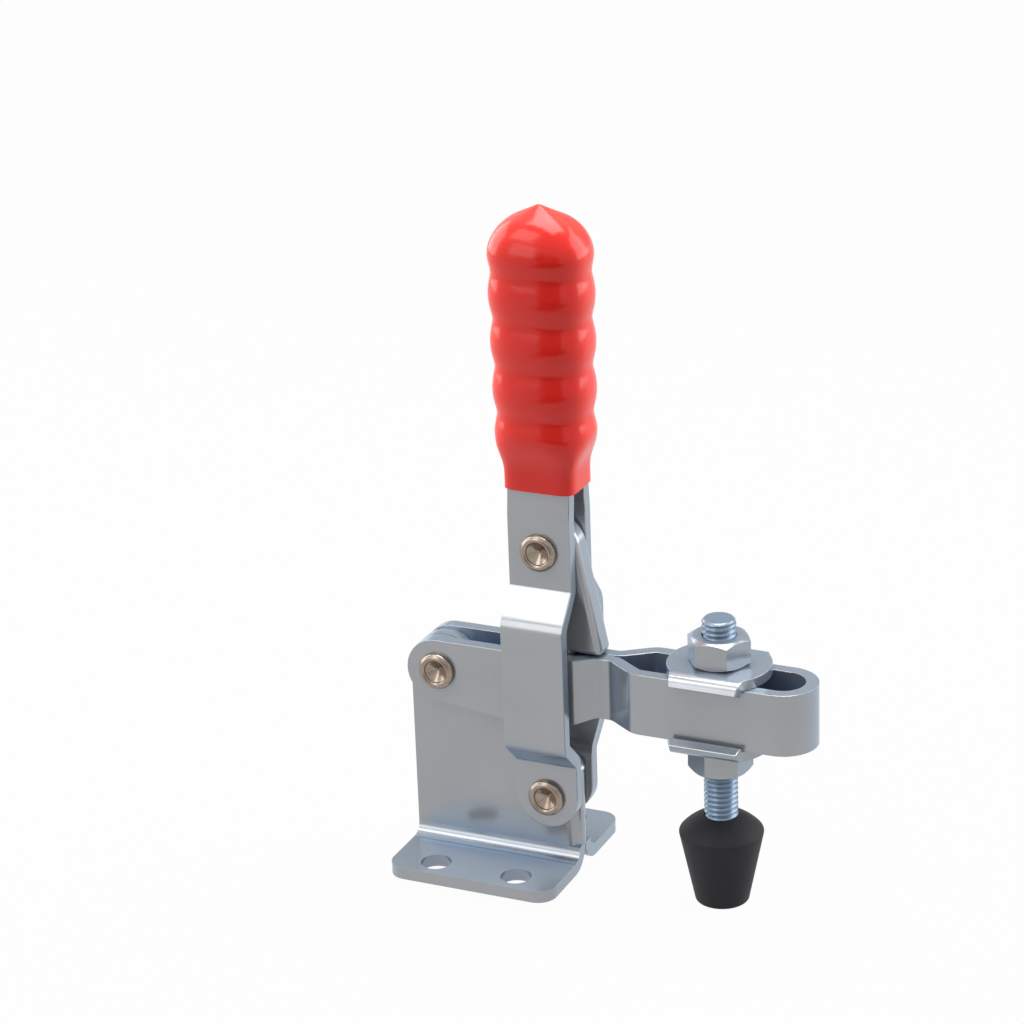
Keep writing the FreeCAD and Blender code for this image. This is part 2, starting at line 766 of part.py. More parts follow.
def build_all():
    right_plate = handle_plate_right()
    return {
        "base": base(),
        "clamp_arm": clamp_arm(),
        "handle_plate_right": right_plate,
        "handle_plate_left": mirrored(right_plate),
        "link": link(),
        "grip": grip(),
        "rivet_arm_pivot": rivet(arm_pivot_x, arm_pivot_z, inner_face),
        "rivet_handle_pivot": rivet(handle_x, handle_pivot_z, 0.0),
        "rivet_link_lower": rivet(link_lower_x, link_lower_z, 0.0),
        "rivet_link_upper": rivet(handle_x, link_upper_z, 0.0),
        "washer_upper": washer(True),
        "washer_lower": washer(False),
        "nut_upper": nut(bar_top_z + washer_sheet, nut_upper_turn_deg),
        "nut_lower": nut(bar_bottom_z - washer_sheet - nut_height, nut_lower_turn_deg),
        "stud": stud(),
        "rubber_cap": rubber_cap(),
    }


os.makedirs("parts", exist_ok=True)
for name, shape in build_all().items():
    shape.exportStep("parts/" + name + ".step")
    box = shape.BoundBox
    print(
        "%-20s solids %d valid %s volume %9.1f  X %7.2f %7.2f  Y %7.2f %7.2f  Z %7.2f %7.2f"
        % (name, len(shape.Solids), shape.isValid(), shape.Volume, box.XMin, box.XMax, box.YMin, box.YMax,
           box.ZMin, box.ZMax)
    )
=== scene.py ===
import math

import bmesh
import bpy
from mathutils import Matrix, Vector


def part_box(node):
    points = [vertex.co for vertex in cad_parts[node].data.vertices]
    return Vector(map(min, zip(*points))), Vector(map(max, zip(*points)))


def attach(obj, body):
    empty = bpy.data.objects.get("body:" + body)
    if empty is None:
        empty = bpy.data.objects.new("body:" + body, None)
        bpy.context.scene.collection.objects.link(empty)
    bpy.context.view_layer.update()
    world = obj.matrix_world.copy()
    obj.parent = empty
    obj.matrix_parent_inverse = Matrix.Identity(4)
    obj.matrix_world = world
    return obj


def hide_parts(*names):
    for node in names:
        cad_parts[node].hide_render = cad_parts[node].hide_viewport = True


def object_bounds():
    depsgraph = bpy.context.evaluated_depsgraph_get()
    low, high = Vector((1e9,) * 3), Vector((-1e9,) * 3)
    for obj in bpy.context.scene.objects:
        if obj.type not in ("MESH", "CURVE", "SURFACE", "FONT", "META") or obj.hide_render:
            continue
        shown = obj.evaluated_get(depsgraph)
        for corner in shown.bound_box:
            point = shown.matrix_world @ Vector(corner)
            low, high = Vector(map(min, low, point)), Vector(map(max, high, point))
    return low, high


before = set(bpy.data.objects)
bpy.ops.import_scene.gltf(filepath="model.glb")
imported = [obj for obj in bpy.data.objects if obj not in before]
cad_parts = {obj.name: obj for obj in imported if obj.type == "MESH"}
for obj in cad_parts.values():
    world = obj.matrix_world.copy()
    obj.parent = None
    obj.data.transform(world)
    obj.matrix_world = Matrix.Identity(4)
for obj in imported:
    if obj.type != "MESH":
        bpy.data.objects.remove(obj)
cad_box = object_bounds()

bl_info = {
    "name": "Toggle Clamp",
    "version": (1, 0, 0),
    "blender": (4, 5, 0),
    "location": "3D Viewport > Sidebar > Clamp",
    "description": "Finishes the metal, thread, rubber cap and vinyl grip of a toggle clamp",
    "category": "Object",
}

MM = 0.001
PANEL_TAB = "Clamp"
SHEET_PARTS = (
    "base",
    "clamp_arm",
    "handle_plate_right",
    "handle_plate_left",
    "link",
    "washer_upper",
    "washer_lower",
)
RIVETS = ("rivet_arm_pivot", "rivet_handle_pivot", "rivet_link_lower", "rivet_link_upper")
NUTS = ("nut_upper", "nut_lower")

# Softboxes: name, place in metres, side in metres and power in watts.
SOFTBOXES = (
    ("key softbox", (-0.39, -0.54, 0.84), 0.42, 1.8),
    ("front softbox", (-0.47, -1.0, 0.45), 0.5, 1.5),
    ("left softbox", (-0.98, 0.1, 0.35), 1.0, 9.5),
    ("right softbox", (0.86, 0.60, 0.45), 1.0, 9.5),
    ("top softbox", (0.05, 0.1, 1.0), 0.7, 11.0),
)
LAMP_TARGET = (0.0, 0.0, 0.08)

# Cards that only reflections and shadows know of, not the camera: name, colour, half sizes and
# place in metres, and turn from lying flat. The two in front deepen the middle of the grip, the
# one behind holds back the flat top faces.
CARDS = (
    ("dark_floor_card", "#2C2C2C", 0.28, 0.33, (0.18, -0.64, 0.0), 0.0),
    ("grey_front_card", "#7C7C7C", 0.44, 0.19, (0.23, -0.98, 0.19), math.radians(90.0)),
    ("grey_back_card", "#A2A2A2", 0.60, 0.30, (0.0, 0.80, 0.45), math.radians(90.0)),
)

# The matt finish of paper and cards, half the floor's side in metres, and the camera's sensor.
MATT_ROUGHNESS = 0.9
MATT_GLOSS = 0.1
FLOOR_HALF = 6.0
SENSOR_WIDTH_MM = 36.0

# Broken edges of pressed metal. Corners nearer than WELD_MM are one, faces that differ by less
# than FLAT_ANGLE are one flat face, and edges sharper than SHARP_ANGLE are rounded. A nut's edges
# are broken less than the sheet's.
WELD_MM = 0.002
FLAT_ANGLE = math.radians(0.3)
SHARP_ANGLE = math.radians(32.0)
EDGE_SEGMENTS = 2
FLAT_WEIGHT = 80
NUT_EDGE_SHARE = 0.6

# Sizes of the marks in the finishes, in millimetres.
SHEET_CLOUD_MM = 14.0
SHEET_GRAIN_MM = 0.35
FASTENER_CLOUD_MM = 5.0
FASTENER_SCUFF_MM = 2.2
RIVET_MARK_MM = 1.2
RUBBER_BLOOM_MM = 3.0
RUBBER_GRAIN_MM = 0.25
VINYL_RIPPLE_MM = 9.0

# The painted sheen of the zinc's film rises to its full strength between these two facing values.
# Its painted pocket shade, a darker blue in the recesses, fades out between these two shares of
# open surroundings, within PAINTED_SHADE_REACH_MM of a point.
FILM_SHEEN_FACING = (0.2, 0.7)
PAINTED_SHADE_OPENNESS = (0.25, 0.8)
PAINTED_SHADE_REACH_MM = 14.0
PAINTED_SHADE_SAMPLES = 8

# Clouds of the plating bath, and how much smoother or duller than the sheet they are.
CLOUD_SPREAD = (0.35, 0.65)
CLOUD_SMOOTHER = 0.03
CLOUD_DULLER = 0.04

# The vinyl's red runs from a painted shade face on to a painted sheen at its edges between these
# two facing values, and the ripple in the skin adds up to this share of the painted shade.
VINYL_SHADE_FACING = (0.05, 0.5)
VINYL_RIPPLE_SHARE = 0.2

# One turn of the thread: height as a share of the pitch, and radius as a share from root to crest.
THREAD_PROFILE = (
    (0.0, 1.0),
    (0.1, 1.0),
    (0.4, 0.1),
    (0.47, 0.0),
    (0.58, 0.0),
    (0.65, 0.1),
    (0.9, 0.93),
)
ROD_SIDES = 64
SPARE_TURNS = 2             # drawn past each end of the rod and cut off there
CUT_TOLERANCE = 1e-7        # in metres, as the next
RIM_TOLERANCE = 1e-6
END_FACE_UPRIGHT = 0.99     # a face this square to the rod's axis is an end face and stays flat


def linear(hex_colour):
    """Scene-linear colour from an sRGB hex value such as #A0A5AD."""
    channels = []
    for i in (1, 3, 5):
        c = int(hex_colour[i:i + 2], 16) / 255.0
        channels.append(c / 12.92 if c <= 0.04045 else ((c + 0.055) / 1.055) ** 2.4)
    return (*channels, 1.0)


def per_metre(size_mm):
    """Texture scale, in repeats per metre, for a feature of that size."""
    return 1.0 / (size_mm * MM)


def add_node(tree, kind, inputs=None, **settings):
    """Adds a node with its settings. inputs maps a socket's name or number to a value or to a
    socket to link."""
    node = tree.nodes.new(kind)
    for name, value in settings.items():
        setattr(node, name, value)
    for name, value in (inputs or {}).items():
        if isinstance(value, bpy.types.NodeSocket):
            tree.links.new(value, node.inputs[name])
        else:
            node.inputs[name].default_value = value
    return node


def new_material(name):
    """Empty node material and its tree."""
    material = bpy.data.materials.new(name)
    material.use_nodes = True
    material.node_tree.nodes.clear()
    return material, material.node_tree


def finish_material(tree, shader):
    add_node(tree, "ShaderNodeOutputMaterial", {"Surface": shader})


def dress(part, material):
    """Gives an object one material in every slot."""
    mesh = part.data
    if not mesh.materials:
        mesh.materials.append(material)
    for i in range(len(mesh.materials)):
        mesh.materials[i] = material


def round_edges(part, width_mm):
    """Breaks the sharp edges of a metal part, as tumbling and plating do."""
    weld = part.modifiers.new("Join corners", "WELD")
    weld.merge_threshold = WELD_MM * MM
    flats = part.modifiers.new("Joined flats", "DECIMATE")
    flats.decimate_type = "DISSOLVE"
    flats.angle_limit = FLAT_ANGLE
    bevel = part.modifiers.new("Broken edges", "BEVEL")
    bevel.width = width_mm * MM
    bevel.segments = EDGE_SEGMENTS
    bevel.limit_method = "ANGLE"
    bevel.angle_limit = SHARP_ANGLE
    bevel.use_clamp_overlap = True
    bevel.loop_slide = False
    shading = part.modifiers.new("Flat faces stay flat", "WEIGHTED_NORMAL")
    shading.weight = FLAT_WEIGHT
    shading.keep_sharp = True


def thread_mesh(name, rings, turn_rings):
    """Smooth mesh through rings of points, each with the same number of points. A ring's end meets
    the start of the ring that is turn_rings further on, as the turns of a thread do."""
    work = bmesh.new()
    rows = [[work.verts.new(point) for point in ring] for ring in rings]
    count = len(rings[0])
    for k in range(len(rows) - 1 - turn_rings):
        for i in range(count):
            ahead = turn_rings if i == count - 1 else 0
            j = (i + 1) % count
            work.faces.new((rows[k][i], rows[k + ahead][j], rows[k + 1 + ahead][j], rows[k + 1][i]))
    bmesh.ops.recalc_face_normals(work, faces=work.faces)
    mesh = bpy.data.meshes.new(name)
    work.to_mesh(mesh)
    work.free()
    mesh.shade_smooth()
    part = bpy.data.objects.new(name, mesh)
    bpy.context.scene.collection.objects.link(part)
    return part


def passivated_zinc(tree, settings, cloud_mm, film_colour_and_sheen, film_everywhere):
    """Colour of blue passivated zinc. It is neutral where it is met face on. At a flat angle it has
    a painted sheen of blue grey that stands in for the film's reflection. In the pockets of a
    folded piece it has painted shade of a darker blue, which stands in for the light that meets the
    film several times there. It also has faint cloudiness from the bath. film_everywhere is the
    share of the film's blue that shows face on as the film's own colour. Also returns the
    coordinates and the cloudiness."""
    place = add_node(tree, "ShaderNodeTexCoord")
    cloud = add_node(
        tree, "ShaderNodeTexNoise",
        {
            "Vector": place.outputs["Object"],
            "Scale": per_metre(cloud_mm),
            "Detail": 3.0,
            "Roughness": 0.55,
        },
    )
    # Painted sheen: blue grey is mixed into the colour by the angle at which the surface is seen,
    # for the film's reflection; film_everywhere keeps a share of it face on as the film's own
    # colour.
    facing = add_node(tree, "ShaderNodeLayerWeight", {"Blend": 0.5})
    film = add_node(
        tree, "ShaderNodeMapRange",
        {
            "Value": facing.outputs["Facing"],
            "From Min": FILM_SHEEN_FACING[0],
            "From Max": FILM_SHEEN_FACING[1],
            "To Min": film_everywhere,
            "To Max": settings.film_sheen_strength,
        },
    )
    plate = add_node(
        tree, "ShaderNodeMix",
        {
            "Factor": cloud.outputs["Fac"],
            6: linear(settings.zinc_light),
            7: linear(settings.zinc_dark),
        },
        data_type="RGBA",
    )
    colour_with_painted_sheen = add_node(
        tree, "ShaderNodeMix",
        {"Factor": film.outputs["Result"], 6: plate.outputs[2], 7: linear(film_colour_and_sheen)},
        data_type="RGBA",
    )
    # Painted shade: a darker blue is mixed into the colour where little of the surroundings is
    # open, in the pockets of a folded piece.
    shade_mask_openness = add_node(
        tree, "ShaderNodeAmbientOcclusion", {"Distance": PAINTED_SHADE_REACH_MM * MM},
        samples=PAINTED_SHADE_SAMPLES, only_local=True,
    )
    painted_pocket_shade = add_node(
        tree, "ShaderNodeMapRange",
        {
            "Value": shade_mask_openness.outputs["AO"],
            "From Min": PAINTED_SHADE_OPENNESS[0],
            "From Max": PAINTED_SHADE_OPENNESS[1],
            "To Min": 1.0,
            "To Max": 0.0,
        },
    )
    colour = add_node(
        tree, "ShaderNodeMix",
        {
            "Factor": painted_pocket_shade.outputs["Result"],
            6: colour_with_painted_sheen.outputs[2],
            7: linear(settings.zinc_painted_pocket_shade),
        },
        data_type="RGBA",
    )
    return place, cloud, colour


def zinc_plated_sheet(settings):
    """Cold rolled steel sheet, pressed and bright zinc plated. It has a soft grey sheen, with a
    painted blue sheen in its colour at a flat angle and painted shade of a darker blue in its
    pockets. It also has faint cloudiness from the bath and a fine grain that only softens the
    reflections. The grain is drawn several times coarser than the real one, so that it shows."""
    material, tree = new_material("zinc plated pressed sheet")
    place, cloud, colour = passivated_zinc(
        tree, settings, cloud_mm=SHEET_CLOUD_MM, film_colour_and_sheen=settings.zinc_painted_sheen, film_everywhere=0.0
    )
    grain = add_node(
        tree, "ShaderNodeTexNoise",
        {
            "Vector": place.outputs["Object"],
            "Scale": per_metre(SHEET_GRAIN_MM),
            "Detail": 2.0,
            "Roughness": 0.6,
        },
    )
    rough = add_node(
        tree, "ShaderNodeMapRange",
        {
            "Value": cloud.outputs["Fac"],
            "From Min": CLOUD_SPREAD[0],
            "From Max": CLOUD_SPREAD[1],
            "To Min": settings.zinc_roughness - CLOUD_SMOOTHER,
            "To Max": settings.zinc_roughness + CLOUD_DULLER,
        },
    )
    bump = add_node(
        tree, "ShaderNodeBump",
        {"Height": grain.outputs["Fac"], "Strength": 0.12, "Distance": 0.02 * MM},
    )
    shader = add_node(
        tree, "ShaderNodeBsdfPrincipled",
        {
            "Base Color": colour.outputs[2],
            "Metallic": settings.zinc_metallic,
            "Roughness": rough.outputs["Result"],
            "Normal": bump.outputs["Normal"],
        },
    )
    finish_material(tree, shader.outputs["BSDF"])
    return material


def zinc_plated_fastener(settings, name, film_colour_and_sheen, film_everywhere, roughness):
    """Cold headed or rolled steel fastener, bright zinc plated: the same film colour, painted sheen
    and painted pocket shade as on the sheet, over a surface that the dies left smoother, with small
    dents and scuffs that break its highlights."""
    material, tree = new_material(name)
    place, _, colour = passivated_zinc(
        tree, settings, FASTENER_CLOUD_MM, film_colour_and_sheen, film_everywhere
    )
    scuffs = add_node(
        tree, "ShaderNodeTexNoise",
        {
            "Vector": place.outputs["Object"],
            "Scale": per_metre(FASTENER_SCUFF_MM),
            "Detail": 3.0,
            "Roughness": 0.6,
        },
    )
    bump = add_node(
        tree, "ShaderNodeBump",
        {"Height": scuffs.outputs["Fac"], "Strength": 0.2, "Distance": 0.03 * MM},
    )
    shader = add_node(
        tree, "ShaderNodeBsdfPrincipled",
        {
            "Base Color": colour.outputs[2],
            "Metallic": settings.zinc_metallic,
            "Roughness": roughness,
            "Normal": bump.outputs["Normal"],
        },
    )
    finish_material(tree, shader.outputs["BSDF"])
    return material


def nickel_plated_rivet(settings):
    """Nickel plated tubular rivet, rolled over in a punch: a warm, slightly bronze metal with fine
    mottled marks from the rolling tool."""
    material, tree = new_material("nickel plated rolled rivet")
    place = add_node(tree, "ShaderNodeTexCoord")
    marks = add_node(
        tree, "ShaderNodeTexNoise",
        {
            "Vector": place.outputs["Object"],
            "Scale": per_metre(RIVET_MARK_MM),
            "Detail": 3.0,
            "Roughness": 0.6,
        },
    )
    colour = add_node(
        tree, "ShaderNodeMix",
        {
            "Factor": marks.outputs["Fac"],
            6: linear(settings.rivet_light),
            7: linear(settings.rivet_dark),
        },
        data_type="RGBA",
    )
    bump = add_node(
        tree, "ShaderNodeBump",
        {"Height": marks.outputs["Fac"], "Strength": 0.25, "Distance": 0.04 * MM},
    )
    shader = add_node(
        tree, "ShaderNodeBsdfPrincipled",
        {
            "Base Color": colour.outputs[2],
            "Metallic": 1.0,
            "Roughness": settings.rivet_roughness,
            "Normal": bump.outputs["Normal"],
        },
    )
    finish_material(tree, shader.outputs["BSDF"])
    return material


def moulded_rubber(settings):
    """Compression moulded nitrile rubber: nearly black, dry and matt, with a fine bloom that lifts
    the colour a little in patches, and a mould grain drawn coarser than the real one, so that it
    shows."""
    material, tree = new_material("moulded nitrile rubber")
    place = add_node(tree, "ShaderNodeTexCoord")
    bloom = add_node(
        tree, "ShaderNodeTexNoise",
        {
            "Vector": place.outputs["Object"],
            "Scale": per_metre(RUBBER_BLOOM_MM),
            "Detail": 4.0,
            "Roughness": 0.6,
        },
    )
    colour = add_node(
        tree, "ShaderNodeMix",
        {
            "Factor": bloom.outputs["Fac"],
            6: linear(settings.rubber_dark),
            7: linear(settings.rubber_bloom),
        },
        data_type="RGBA",
    )
    grain = add_node(
        tree, "ShaderNodeTexNoise",
        {
            "Vector": place.outputs["Object"],
            "Scale": per_metre(RUBBER_GRAIN_MM),
            "Detail": 2.0,
            "Roughness": 0.5,
        },
    )
    bump = add_node(
        tree, "ShaderNodeBump",
        {"Height": grain.outputs["Fac"], "Strength": 0.35, "Distance": 0.03 * MM},
    )
    shader = add_node(
        tree, "ShaderNodeBsdfPrincipled",
        {
            "Base Color": colour.outputs[2],
            "Roughness": settings.rubber_roughness,
            "IOR": 1.5,
            "Specular IOR Level": 0.25,
            "Normal": bump.outputs["Normal"],
        },
    )
    finish_material(tree, shader.outputs["BSDF"])
    return material


def dipped_vinyl(settings):
    """Soft PVC, dip moulded: a thick satin red skin that light enters a little. Its colour holds
    painted shade, deep red where the eye meets it face on, and a painted sheen, paler towards its
    edges, with a slow ripple where the paste ran before it set."""
    material, tree = new_material("dip moulded vinyl")
    place = add_node(tree, "ShaderNodeTexCoord")
    ripple = add_node(
        tree, "ShaderNodeTexNoise",
        {
            "Vector": place.outputs["Object"],
            "Scale": per_metre(VINYL_RIPPLE_MM),
            "Detail": 2.0,
            "Roughness": 0.5,
        },
    )
    # Painted shade and sheen: the red is deepened face on and paled towards the edges, by the angle
    # at which the skin is seen.
    facing = add_node(tree, "ShaderNodeLayerWeight", {"Blend": 0.5})
    depth = add_node(
        tree, "ShaderNodeMapRange",
        {
            "Value": facing.outputs["Facing"],
            "From Min": VINYL_SHADE_FACING[0],
            "From Max": VINYL_SHADE_FACING[1],
            "To Min": 1.0,
            "To Max": 0.0,
        },
    )
    shade_and_ripple = add_node(
        tree, "ShaderNodeMath",
        {0: ripple.outputs["Fac"], 1: VINYL_RIPPLE_SHARE, 2: depth.outputs["Result"]},
        operation="MULTIPLY_ADD", use_clamp=True,
    )
    colour = add_node(
        tree, "ShaderNodeMix",
        {
            "Factor": shade_and_ripple.outputs["Value"],
            6: linear(settings.vinyl_painted_sheen),
            7: linear(settings.vinyl_painted_shade),
        },
        data_type="RGBA",
    )
    bump = add_node(
        tree, "ShaderNodeBump",
        {"Height": ripple.outputs["Fac"], "Strength": 0.5, "Distance": 0.25 * MM},
    )
    shader = add_node(
        tree, "ShaderNodeBsdfPrincipled",
        {
            "Base Color": colour.outputs[2],
            "Roughness": settings.vinyl_roughness,
            "IOR": 1.53,
            "Specular IOR Level": 0.3,
            "Subsurface Weight": 0.15,
            "Subsurface Radius": (1.0, 0.12, 0.08),
            "Subsurface Scale": 1.5 * MM,
            "Normal": bump.outputs["Normal"],
        },
    )
    finish_material(tree, shader.outputs["BSDF"])
    return material


def background_rays(tree):
    """1 for the rays that show a background, straight or in metal and glass, and 0 for those that
    light."""
    path = add_node(tree, "ShaderNodeLightPath")
    either = add_node(
        tree, "ShaderNodeMath",
        {0: path.outputs["Is Camera Ray"], 1: path.outputs["Is Glossy Ray"]},
        operation="MAXIMUM",
    )
    seen = add_node(
        tree, "ShaderNodeMath",
        {0: either.outputs["Value"], 1: path.outputs["Is Transmission Ray"]},
        operation="MAXIMUM",
    )
    return seen.outputs["Value"]


def studio_paper(settings):
    """Seamless white background paper: even and without shine. Part of its white glows by itself
    where it is looked at, so that it stays even to the far edge, and the rest takes the shadow of
    the clamp."""
    material, tree = new_material("white background paper")
    paper = add_node(
        tree, "ShaderNodeBsdfPrincipled",
        {
            "Base Color": linear(settings.floor_colour),
            "Roughness": MATT_ROUGHNESS,
            "Specular IOR Level": MATT_GLOSS,
        },
    )
    glow = add_node(tree, "ShaderNodeEmission", {"Color": (1.0, 1.0, 1.0, 1.0), "Strength": 1.0})
    share = add_node(
        tree, "ShaderNodeMath",
        {0: background_rays(tree), 1: settings.floor_glow},
        operation="MULTIPLY",
    )
    mix = add_node(
        tree, "ShaderNodeMixShader",
        {0: share.outputs["Value"], 1: paper.outputs["BSDF"], 2: glow.outputs["Emission"]},
    )
    finish_material(tree, mix.outputs["Shader"])
    return material


def matt_card(name, colour):
    """Matt studio card: it gives gloss and plating something to reflect that is darker than the
    paper."""
    material, tree = new_material(name)
    shader = add_node(
        tree, "ShaderNodeBsdfPrincipled",
        {
            "Base Color": linear(colour),
            "Roughness": MATT_ROUGHNESS,
            "Specular IOR Level": MATT_GLOSS,
        },
    )
    finish_material(tree, shader.outputs["BSDF"])
    return material


class ClampMetalSettings(bpy.types.PropertyGroup):
    """Edges and finishes of the sheet metal, the fasteners and the rivets"""

    edge_radius: bpy.props.FloatProperty(
        name="Edge radius",
        description="Width of the broken edges, in millimetres",
        default=0.22,
        min=0.02,
        max=1.0,
    )
    zinc_light: bpy.props.StringProperty(
        name="Zinc",
        description="Colour of the zinc plate, as sRGB hex",
        default="#A6A8AA",
    )
    zinc_dark: bpy.props.StringProperty(
        name="Zinc, dark",
        description="Darker colour of the zinc's clouds, as sRGB hex",
        default="#9C9FA3",
    )
    # Painted shade: the colour laid into the pockets of a folded piece.
    zinc_painted_pocket_shade: bpy.props.StringProperty(
        name="Zinc, pockets",
        description="Colour of the zinc deep in the pockets of a folded piece, as sRGB hex",
        default="#5F86B0",
    )
    # Painted sheen: the blue laid into the zinc's colour at a flat angle.
    zinc_painted_sheen: bpy.props.StringProperty(
        name="Zinc, blue",
        description="Colour of the film on the zinc at a flat angle, as sRGB hex",
        default="#8A9FB4",
    )
    # Strength of that painted sheen.
    film_sheen_strength: bpy.props.FloatProperty(
        name="Film",
        description="How much of the film's blue shows at a flat angle",
        default=0.72,
        min=0.0,
        max=1.0,
        subtype="FACTOR",
    )
    zinc_metallic: bpy.props.FloatProperty(
        name="Zinc metallic",
        description="Share of bare metal under the slightly milky film",
        default=0.58,
        min=0.0,
        max=1.0,
        subtype="FACTOR",
    )
    zinc_roughness: bpy.props.FloatProperty(
        name="Zinc roughness",
        description="How satin the plated sheet is",
        default=0.19,
        min=0.0,
        max=1.0,
        subtype="FACTOR",
    )
    nut_roughness: bpy.props.FloatProperty(
        name="Nut roughness",
        description="How satin the nuts are",
        default=0.22,
        min=0.0,
        max=1.0,
        subtype="FACTOR",
    )
    # The film's own blue on the thread face on, with a painted sheen of it added at a flat angle.
    thread_blue: bpy.props.StringProperty(
        name="Thread, blue",
        description="Colour of the thicker film on the stud's thread, as sRGB hex",
        default="#63819A",
    )
    thread_film: bpy.props.FloatProperty(
        name="Thread film",
        description="How much of the film's blue shows face on",
        default=0.6,
        min=0.0,
        max=1.0,
        subtype="FACTOR",
    )
    thread_roughness: bpy.props.FloatProperty(
        name="Thread roughness",
        description="How satin the stud is",
        default=0.34,
        min=0.0,
        max=1.0,
        subtype="FACTOR",
    )
    rivet_light: bpy.props.StringProperty(
        name="Rivet",
        description="Colour of the rivets, as sRGB hex",
        default="#A6988B",
    )
    rivet_dark: bpy.props.StringProperty(
        name="Rivet, dark",
        description="Darker colour of the rivets, as sRGB hex",
        default="#84766C",
    )
    rivet_roughness: bpy.props.FloatProperty(
        name="Rivet roughness",
        description="How satin the rivets are",
        default=0.25,
        min=0.0,
        max=1.0,
        subtype="FACTOR",
    )


class ClampSpindleSettings(bpy.types.PropertyGroup):
    """Thread of the stud, and the rubber of its cap"""

    thread_pitch: bpy.props.FloatProperty(
        name="Thread pitch",
        description="Rise of the thread in one turn, in millimetres",
        default=1.25,
        min=0.2,
    )
    thread_depth: bpy.props.FloatProperty(
        name="Thread depth",
        description="From crest to root, in millimetres",
        default=0.72,
        min=0.05,
    )
    thread_crest: bpy.props.FloatProperty(
        name="Crest",
        description="Diameter over the thread's crests, in millimetres",
        default=7.9,
        min=1.0,
    )
    thread_chamfer: bpy.props.FloatProperty(
        name="Chamfer",
        description="Height of the chamfer at the thread's end, in millimetres",
        default=0.6,
        min=0.0,
    )
    thread_runout: bpy.props.FloatProperty(
        name="Run-out",
        description="Plain length above the last turn, in millimetres",
        default=1.5,
        min=0.0,
    )
    head_height: bpy.props.FloatProperty(
        name="Head",
        description="Height of the disc inside the rubber cap, in millimetres",
        default=3.0,
        min=0.1,
    )
    rubber_dark: bpy.props.StringProperty(
        name="Rubber",
        description="Colour of the rubber, as sRGB hex",
        default="#1D1D21",
    )
    rubber_bloom: bpy.props.StringProperty(
        name="Rubber bloom",
        description="Colour of the bloom on the rubber, as sRGB hex",
        default="#26262B",
    )
    rubber_roughness: bpy.props.FloatProperty(
        name="Rubber roughness",
        description="How matt the rubber is",
        default=0.62,
        min=0.0,
        max=1.0,
        subtype="FACTOR",
    )


class ClampGripSettings(bpy.types.PropertyGroup):
    """Vinyl of the grip"""

    # Painted sheen: the paler red laid in towards the grip's edges.
    vinyl_painted_sheen: bpy.props.StringProperty(
        name="Vinyl",
        description="Colour of the vinyl, as sRGB hex",
        default="#F5453B",
    )
    # Painted shade: the deeper red laid in where the grip is seen face on.
    vinyl_painted_shade: bpy.props.StringProperty(
        name="Vinyl, deep",
        description="Deeper colour of the vinyl, as sRGB hex",
        default="#DA261E",
    )
    vinyl_roughness: bpy.props.FloatProperty(
        name="Vinyl roughness",
        description="How satin the vinyl is",
        default=0.17,
        min=0.0,
        max=1.0,
        subtype="FACTOR",
    )


class ClampStageSettings(bpy.types.PropertyGroup):
    """Paper, fill light and camera"""

    floor_colour: bpy.props.StringProperty(
        name="Floor",
        description="Colour of the paper, as sRGB hex",
        default="#A0A0A0",
    )
    floor_glow: bpy.props.FloatProperty(
        name="Floor glow",
        description="Share of the paper's white that takes no shadow",
        default=0.97,
        min=0.0,
        max=1.0,
        subtype="FACTOR",
    )
    fill_strength: bpy.props.FloatProperty(
        name="Fill light",
        description="Strength of the even light all round",
        default=0.40,
        min=0.0,
    )
    camera_azimuth: bpy.props.FloatProperty(
        name="Azimuth",
        description="Camera's turn about the clamp",
        default=math.radians(25.05),
        subtype="ANGLE",
    )
    camera_elevation: bpy.props.FloatProperty(
        name="Elevation",
        description="Camera's height above the horizon",
        default=math.radians(21.69),
        subtype="ANGLE",
    )
    camera_roll: bpy.props.FloatProperty(
        name="Roll",
        description="Camera's turn about its own view",
        default=math.radians(-2.10),
        subtype="ANGLE",
    )
    camera_distance: bpy.props.FloatProperty(
        name="Distance",
        description="From the camera to the point that it looks at",
        default=0.8,
        unit="LENGTH",
    )
    camera_target: bpy.props.FloatVectorProperty(
        name="Target",
        description="Point that the camera looks at",
        default=(0.00507, 0.0, 0.08768),
        subtype="TRANSLATION",
    )
    camera_lens: bpy.props.FloatProperty(
        name="Lens",
        description="Focal length, in millimetres",
        default=122.8,
        min=10.0,
    )


class CLAMP_OT_sheet_metal(bpy.types.Operator):
    """Finish the pressed sheet parts and the flanged washers"""

    bl_idname = "clamp.sheet_metal"
    bl_label = "Sheet metal"

    def execute(self, context):
        settings = context.scene.clamp_metal
        material = zinc_plated_sheet(settings)
        for name in SHEET_PARTS:
            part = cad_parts[name]
            dress(part, material)
            round_edges(part, settings.edge_radius)
        return {"FINISHED"}


class CLAMP_OT_rivets(bpy.types.Operator):
    """Finish the four tubular rivets"""

    bl_idname = "clamp.rivets"
    bl_label = "Rivets"

    def execute(self, context):
        material = nickel_plated_rivet(context.scene.clamp_metal)
        for name in RIVETS:
            dress(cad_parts[name], material)
        return {"FINISHED"}


class CLAMP_OT_nuts(bpy.types.Operator):
    """Finish the two hexagon nuts"""

    bl_idname = "clamp.nuts"
    bl_label = "Nuts"

    def execute(self, context):
        settings = context.scene.clamp_metal
        material = zinc_plated_fastener(
            settings,
            "zinc plated cold formed nut",
            film_colour_and_sheen=settings.zinc_painted_sheen,
            film_everywhere=0.0,
            roughness=settings.nut_roughness,
        )
        for name in NUTS:
            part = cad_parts[name]
            dress(part, material)
            round_edges(part, NUT_EDGE_SHARE * settings.edge_radius)
        return {"FINISHED"}


